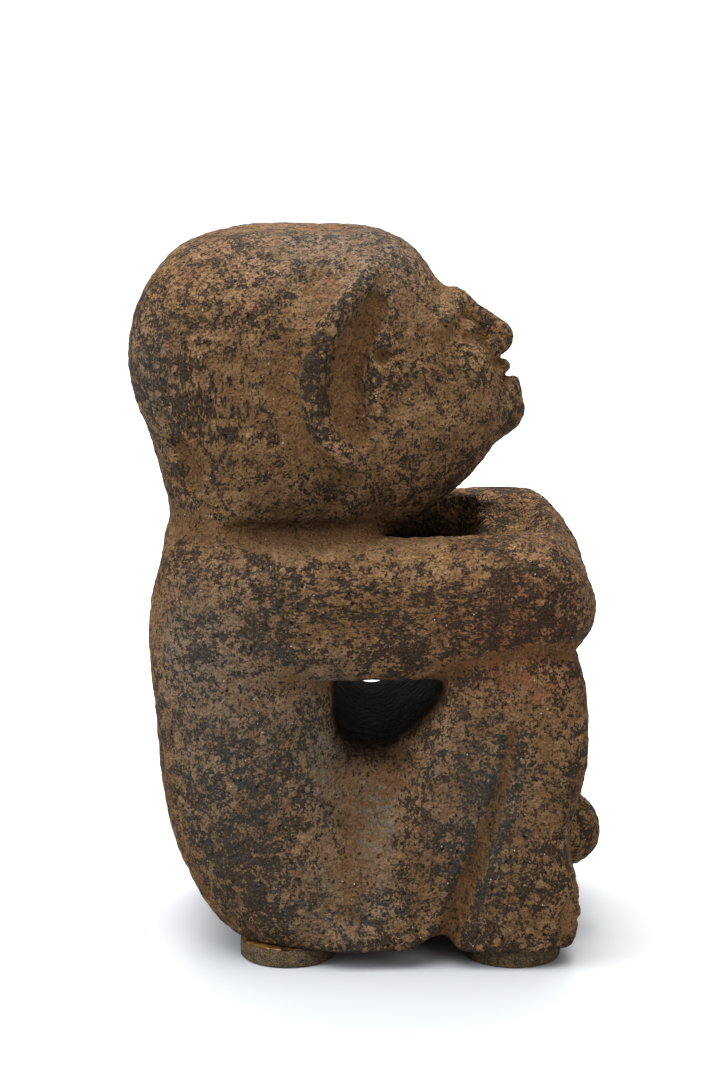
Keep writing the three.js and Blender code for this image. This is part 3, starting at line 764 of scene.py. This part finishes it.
class Nodes:
    """A material's node tree, with short ways to add to it. Sizes are in millimetres."""

    def __init__(self, name):
        self.material = bpy.data.materials.new(name)
        self.material.use_nodes = True
        self.tree = self.material.node_tree
        self.shader = self.tree.nodes["Principled BSDF"]

    def add(self, kind, inputs=(), **settings):
        node = self.tree.nodes.new(kind)
        for key, value in settings.items():
            setattr(node, key, value)
        for key, value in dict(inputs).items():
            self.put(node.inputs[key], value)
        return node

    def put(self, socket, value):
        if isinstance(value, bpy.types.NodeSocket):
            self.tree.links.new(value, socket)
        else:
            socket.default_value = value

    def surface(self, inputs):
        """Sets the shader's own sockets."""
        for key, value in inputs.items():
            self.put(self.shader.inputs[key], value)

    def place(self):
        return self.add("ShaderNodeTexCoord").outputs["Object"]

    def attribute(self, name):
        return self.add("ShaderNodeAttribute", attribute_name=name).outputs["Fac"]

    def math(self, operation, a, b, c=0.0, clamp=False):
        inputs = {0: a, 1: b, 2: c}
        return self.add("ShaderNodeMath", inputs, operation=operation, use_clamp=clamp).outputs[0]

    def times(self, a, b):
        return self.math("MULTIPLY", a, b)

    def total(self, *terms):
        """The sum of weights times values."""
        result = 0.0
        for weight, value in terms:
            result = self.math("MULTIPLY_ADD", value, weight, result)
        return result

    def mix(self, factor, a, b, blend="MIX"):
        node = self.add("ShaderNodeMix", data_type="RGBA", blend_type=blend)
        self.put(node.inputs["Factor"], factor)
        self.put(node.inputs[6], a)
        self.put(node.inputs[7], b)
        return node.outputs[2]

    def steps(self, value, low, high):
        """0 below low, 1 above high, smooth between."""
        return self.remapped(value, (low, high), (0.0, 1.0), interpolation_type="SMOOTHSTEP")

    def remapped(self, value, source, target, **settings):
        inputs = {0: value, 1: source[0], 2: source[1], 3: target[0], 4: target[1]}
        return self.add("ShaderNodeMapRange", inputs, **settings).outputs[0]

    def noise(self, vector, size, detail, roughness, distortion=0.0):
        return self.add("ShaderNodeTexNoise", {
            "Vector": vector, "Scale": 1 / (size * MM), "Detail": detail, "Roughness": roughness,
            "Distortion": distortion}).outputs["Fac"]

    def grains(self, vector, size, detail, roughness, edge, strength):
        """Noise cut off at its edge, which is where it starts and where it is full, then weakened."""
        return self.times(self.steps(self.noise(vector, size, detail, roughness), *edge), strength)

    def stretched(self, vector, scale):
        return self.add("ShaderNodeVectorMath", {0: vector, 1: scale}, operation="MULTIPLY").outputs[0]

    def warped(self, vector, size, push):
        """The vector pushed about, so that what it draws loses its straight and round edges."""
        field = self.add("ShaderNodeTexNoise", {"Vector": vector, "Scale": 1 / (size * MM), "Detail": 2.0})
        both = {0: field.outputs["Color"], 1: (0.5, 0.5, 0.5)}
        centred = self.add("ShaderNodeVectorMath", both, operation="SUBTRACT").outputs[0]
        scaled = self.add("ShaderNodeVectorMath", {0: centred, 3: push * MM}, operation="SCALE").outputs[0]
        return self.add("ShaderNodeVectorMath", {0: vector, 1: scaled}).outputs[0]

    def dots(self, vector, spacing, radius):
        """1 in small round dots of many sizes, about the spacing apart, up to that radius in spacings."""
        cells = self.add("ShaderNodeTexVoronoi", {"Vector": vector, "Scale": 1 / (spacing * MM)})
        number = self.add("ShaderNodeSeparateColor", {0: cells.outputs["Color"]}).outputs[0]
        size = self.times(number, radius)
        inner = self.times(size, 0.6)
        return self.remapped(cells.outputs["Distance"], (inner, size), (1.0, 0.0))

    def bump(self, height, depth):
        inputs = {"Strength": 1.0, "Distance": depth * MM, "Height": height}
        return self.add("ShaderNodeBump", inputs).outputs[0]


def speckle(n, vector):
    coarse = n.noise(vector, size=1.5, detail=1, roughness=0.9)
    fine = n.noise(vector, size=0.6, detail=1, roughness=0.9)
    return n.total((1.0, coarse), (1.0, fine))


def dark_skin(n, place, ragged, shade):
    """Where the dark skin is: specks, drawn out level on the arms and upright on the head, and patches."""
    lying = n.math("MULTIPLY_ADD", shade["level"], 2.0, -1.0, clamp=True)
    standing = n.math("MULTIPLY_ADD", shade["level"], -2.0, 1.0, clamp=True)
    specks = n.mix(lying, speckle(n, place), speckle(n, n.stretched(place, (1.0, 0.6, 1.3))))
    specks = n.mix(standing, specks, speckle(n, n.stretched(place, (1.3, 1.3, 0.4))))
    drawn_out = n.stretched(n.warped(place, size=3, push=2.5), (1.0, 0.7, 1.1))
    patches = n.noise(drawn_out, size=4.5, detail=1, roughness=0.8)
    islands = n.dots(ragged, spacing=3.6, radius=0.42)
    amount = n.total(
        (0.7, patches), (1.0, specks), (1.0, shade["dark"]), (-0.35, shade["hollow"]), (0.1, shade["worn"]),
        (-0.2, shade["crust"]), (-0.42, islands))
    return n.steps(amount, 1.71, 1.83)


def ground_colour(n, place, ragged, shade):
    """The stone below the skin: tan, greyer (partly painted sheen) or redder in places, with dust, dark
    grains and crust.
    """
    drift = n.noise(place, size=7, detail=5, roughness=0.65)
    red_cloud = n.steps(n.noise(place, size=4, detail=4, roughness=0.6), 0.40, 0.60)
    lichen = n.steps(n.noise(place, size=1.6, detail=6, roughness=0.7), 0.45, 0.55)
    dust = n.grains(place, size=0.6, detail=2, roughness=0.7, edge=(0.58, 0.70), strength=0.45)
    dark_grains = n.grains(ragged, size=0.55, detail=1, roughness=0.7, edge=(0.56, 0.66), strength=0.55)
    ground = n.mix(n.steps(drift, 0.36, 0.66), TAN_LIGHT, TAN_BROWN)
    # Greyer in the grey places: partly the stone's tone, partly painted sheen at the back and the top
    ground = n.mix(n.times(shade["grey"], 0.65), ground, GREY_TAN)
    ground = n.mix(n.times(n.steps(shade["hollow"], 0.1, 0.8), 0.8), ground, OCHRE)
    ground = n.mix(n.times(shade["red"], red_cloud), ground, RED_BROWN)
    ground = n.mix(dust, ground, DUST_AND_SHEEN)
    ground = n.mix(dark_grains, ground, DARK_BROWN)
    return n.mix(n.times(shade["crust"], lichen), ground, CRUST_GREY)


def coat_colour(n, place, shade):
    """The dark skin's colour: dark grey to brown, redder at the elbows, with paler grains and a painted
    grazing sheen.
    """
    warm = n.total((1.0, n.noise(place, size=4, detail=2, roughness=0.6)), (-0.35, shade["grey"]))
    grains = n.grains(place, size=0.5, detail=1, roughness=0.8, edge=(0.50, 0.64), strength=0.6)
    coat = n.mix(n.steps(warm, 0.13, 0.43), DARK_GREY, DARK_BROWN)
    coat = n.mix(n.times(shade["red"], 0.8), coat, DARK_RED)
    coat = n.mix(grains, coat, COAT_GRAIN)
    # Painted sheen: the dark skin is paler in the grey places, where the back and the top catch grazing
    # light
    return n.mix(n.times(shade["grey"], 0.07), coat, DUST_AND_SHEEN)


def stone_material():
    n = Nodes("weathered_stone")
    place = n.place()
    names = ("hollow", "worn", "dark", "level", "crust", "red", "deep", "grey")
    shade = {name: n.attribute(name) for name in names}
    ragged = n.warped(place, size=0.9, push=1.3)
    skin = dark_skin(n, place, ragged, shade)
    pits = n.dots(ragged, spacing=2.6, radius=0.2)
    sparkles = n.dots(n.stretched(place, (1.0, 1.1, 0.9)), spacing=2.6, radius=0.085)
    grain = n.noise(place, size=0.9, detail=3, roughness=0.95)
    colour = n.mix(skin, ground_colour(n, place, ragged, shade), coat_colour(n, place, shade))
    colour = n.mix(1.0, colour, n.remapped(grain, (0.3, 0.7), (0.62, 1.38)), "MULTIPLY")
    colour = n.mix(n.times(pits, 0.85), colour, PIT_AND_SHADE_BLACK)
    colour = n.mix(n.times(sparkles, 0.8), colour, SPARKLE)
    # Painted shade: near black where the gap, the hollow of the arms and the overhanging head shade the
    # stone
    colour = n.mix(n.times(shade["deep"], 0.96), colour, PIT_AND_SHADE_BLACK)
    coarse = n.noise(place, size=2.6, detail=1, roughness=0.5)
    middle = n.noise(place, size=1.1, detail=1, roughness=0.6)
    fine = n.noise(place, size=0.6, detail=0, roughness=0.5)
    height = n.total((1.5, coarse), (1.3, middle), (0.3, fine), (-0.10, skin), (-0.6, pits))
    n.surface({
        "Base Color": colour, "Roughness": n.remapped(skin, (0.0, 1.0), (0.95, 0.75)),
        "Specular IOR Level": 0.03, "Normal": n.bump(height, depth=1)})
    return n.material


def felt_material():
    n = Nodes("matted_felt")
    place = n.place()
    matting = n.noise(place, size=2.0, detail=5, roughness=0.8, distortion=1.0)
    fibres = n.noise(n.stretched(place, (1.0, 1.0, 2.6)), size=1.1, detail=2, roughness=0.9, distortion=3.0)
    colour = n.mix(n.steps(matting, 0.40, 0.60), FELT_DARK, FELT_BROWN)
    colour = n.mix(n.steps(fibres, 0.55, 0.63), colour, FELT_FIBRE)
    height = n.total((1.0, matting), (0.6, fibres))
    n.surface({"Base Color": colour, "Roughness": 0.95, "Normal": n.bump(height, depth=0.8)})
    return n.material


def glue_material():
    n = Nodes("amber_glue")
    cloud = n.noise(n.place(), size=2, detail=3, roughness=0.6)
    n.surface({"Base Color": n.mix(n.steps(cloud, 0.4, 0.65), GLUE_DARK, GLUE_AMBER), "Roughness": 0.35})
    return n.material


def floor_material():
    n = Nodes("pale_floor")
    n.surface({"Base Color": FLOOR_PALE, "Roughness": 0.75, "Specular IOR Level": 0.2})
    return n.material


def band(row, around):
    """Quads between a ring of vertices and the next, where each ring is numbered after the one before."""
    first = row * around
    for i in range(around):
        j = (i + 1) % around
        yield first + i, first + j, first + around + j, first + around + i


def placed_object(name, vertices, faces, centre, material):
    """An object from vertices in millimetres round the centre, which is in metres."""
    points = np.array(vertices) * MM + np.array([centre[0], centre[1], 0])
    made = mesh_object(name, points.tolist(), faces)
    made.data.materials.append(material)
    return made


def felt_pad(name, centre, seed, material):
    """A disc of matted felt with a soft, uneven rim."""
    rng = np.random.default_rng(seed)
    angles = np.linspace(0, 2 * math.pi, PAD_AROUND, endpoint=False)
    waves = sum(
        rng.uniform(-1, 1) * np.sin(k * angles + rng.uniform(0, RIM_WAVE_PHASE)) / k**RIM_WAVE_FADE
        for k in RIM_WAVES)
    vertices, faces = [], []
    for share, level in PAD_PROFILE:
        for wave, angle in zip(waves, angles):
            on_rim = share > RIM_FROM
            uneven = RIM_WAVE_HEIGHT * wave + RIM_OUT + rng.uniform(*RIM_FUZZ)
            radius = min(PAD_RADIUS * share + on_rim * uneven, PAD_RADIUS)
            vertices.append((radius * math.cos(angle), radius * math.sin(angle), PAD_THICKNESS * level))
    for row in range(len(PAD_PROFILE) - 1):
        faces.extend(band(row, PAD_AROUND))
    bottom, top = len(vertices), len(vertices) + 1
    vertices += [(0, 0, 0), (0, 0, PAD_THICKNESS)]
    last_ring = (len(PAD_PROFILE) - 1) * PAD_AROUND
    for i in range(PAD_AROUND):
        j = (i + 1) % PAD_AROUND
        faces.append((bottom, j, i))
        faces.append((top, last_ring + i, last_ring + j))
    pad = placed_object(name, vertices, faces, centre, material)
    pad.data.shade_smooth()
    return pad


def glue_disc(name, centre, seed, material):
    """The thin layer of glue between a pad and the stone."""
    rng = np.random.default_rng(seed)
    vertices = []
    for level in (PAD_THICKNESS + GLUE_GAP, STONE_BASE - GLUE_GAP):
        for i in range(GLUE_AROUND):
            angle = 2 * math.pi * i / GLUE_AROUND
            radius = PAD_RADIUS - GLUE_INSET + rng.uniform(-GLUE_UNEVEN, GLUE_UNEVEN)
            vertices.append((radius * math.cos(angle), radius * math.sin(angle), level))
    faces = [tuple(reversed(range(GLUE_AROUND))), tuple(range(GLUE_AROUND, 2 * GLUE_AROUND))]
    faces.extend(band(0, GLUE_AROUND))
    return placed_object(name, vertices, faces, centre, material)


def floor_object():
    """A pale floor that sweeps up into a backdrop behind the figure, as the camera sees it."""
    profile = [(FLOOR_NEAR, 0), (FLOOR_FAR, 0)]
    for t in np.linspace(SWEEP_START, math.pi / 2, SWEEP_STEPS):
        profile.append((FLOOR_FAR + SWEEP_RADIUS * math.sin(t), SWEEP_RADIUS - SWEEP_RADIUS * math.cos(t)))
    profile.append((FLOOR_FAR + SWEEP_RADIUS, BACKDROP_TOP))
    vertices = [(x, y, z) for x, z in profile for y in (-FLOOR_HALF_WIDTH, FLOOR_HALF_WIDTH)]
    faces = [(2 * i, 2 * i + 2, 2 * i + 3, 2 * i + 1) for i in range(len(profile) - 1)]
    floor = mesh_object("studio_floor", vertices, faces)
    floor.data.shade_smooth()
    floor.data.materials.append(floor_material())
    return floor


def look_along(direction):
    return Vector(direction).to_track_quat("-Z", "Y").to_euler()


def area_light(name, place, target, size, power, colour):
    data = bpy.data.lights.new(name, "AREA")
    data.shape = "RECTANGLE"
    data.size, data.size_y = size
    data.energy = power
    data.color = colour
    light = bpy.data.objects.new(name, data)
    light.location = place
    light.rotation_euler = look_along(Vector(target) - Vector(place))
    bpy.context.collection.objects.link(light)


def studio():
    world = bpy.context.scene.world or bpy.data.worlds.new("studio")
    bpy.context.scene.world = world
    world.use_nodes = True
    background = world.node_tree.nodes["Background"]
    background.inputs["Color"].default_value = (*WHITE, 1)
    background.inputs["Strength"].default_value = WORLD_STRENGTH
    for light in LIGHTS:
        area_light(*light)
    bpy.context.scene.view_settings.view_transform = "Standard"


def camera():
    data = bpy.data.cameras.new("camera")
    data.lens = LENS_MM
    data.sensor_fit = "VERTICAL"
    data.sensor_height = SENSOR_HEIGHT_MM
    data.clip_start = CLIP_START
    view = bpy.data.objects.new("camera", data)
    view.location = CAMERA_PLACE
    view.rotation_euler = look_along((math.cos(CAMERA_PITCH), 0, -math.sin(CAMERA_PITCH)))
    bpy.context.collection.objects.link(view)
    bpy.context.scene.camera = view


camera()
studio()
floor_object()

carved = stone_object()
carved.data.materials.append(stone_material())
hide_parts("stone_figure")
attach(carved, "root")

felt, glue = felt_material(), glue_material()
pads = [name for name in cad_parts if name.startswith("felt_pad")]
for number, name in enumerate(sorted(pads)):
    low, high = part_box(name)
    middle = ((low[0] + high[0]) / 2, (low[1] + high[1]) / 2)
    pad = felt_pad(name.replace("felt_pad", "matted_pad"), middle, PAD_SEED + number, felt)
    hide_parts(name)
    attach(pad, "root")
    layer = glue_disc(name.replace("felt_pad", "glue_layer"), middle, GLUE_SEED + number, glue)
    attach(layer, "root")
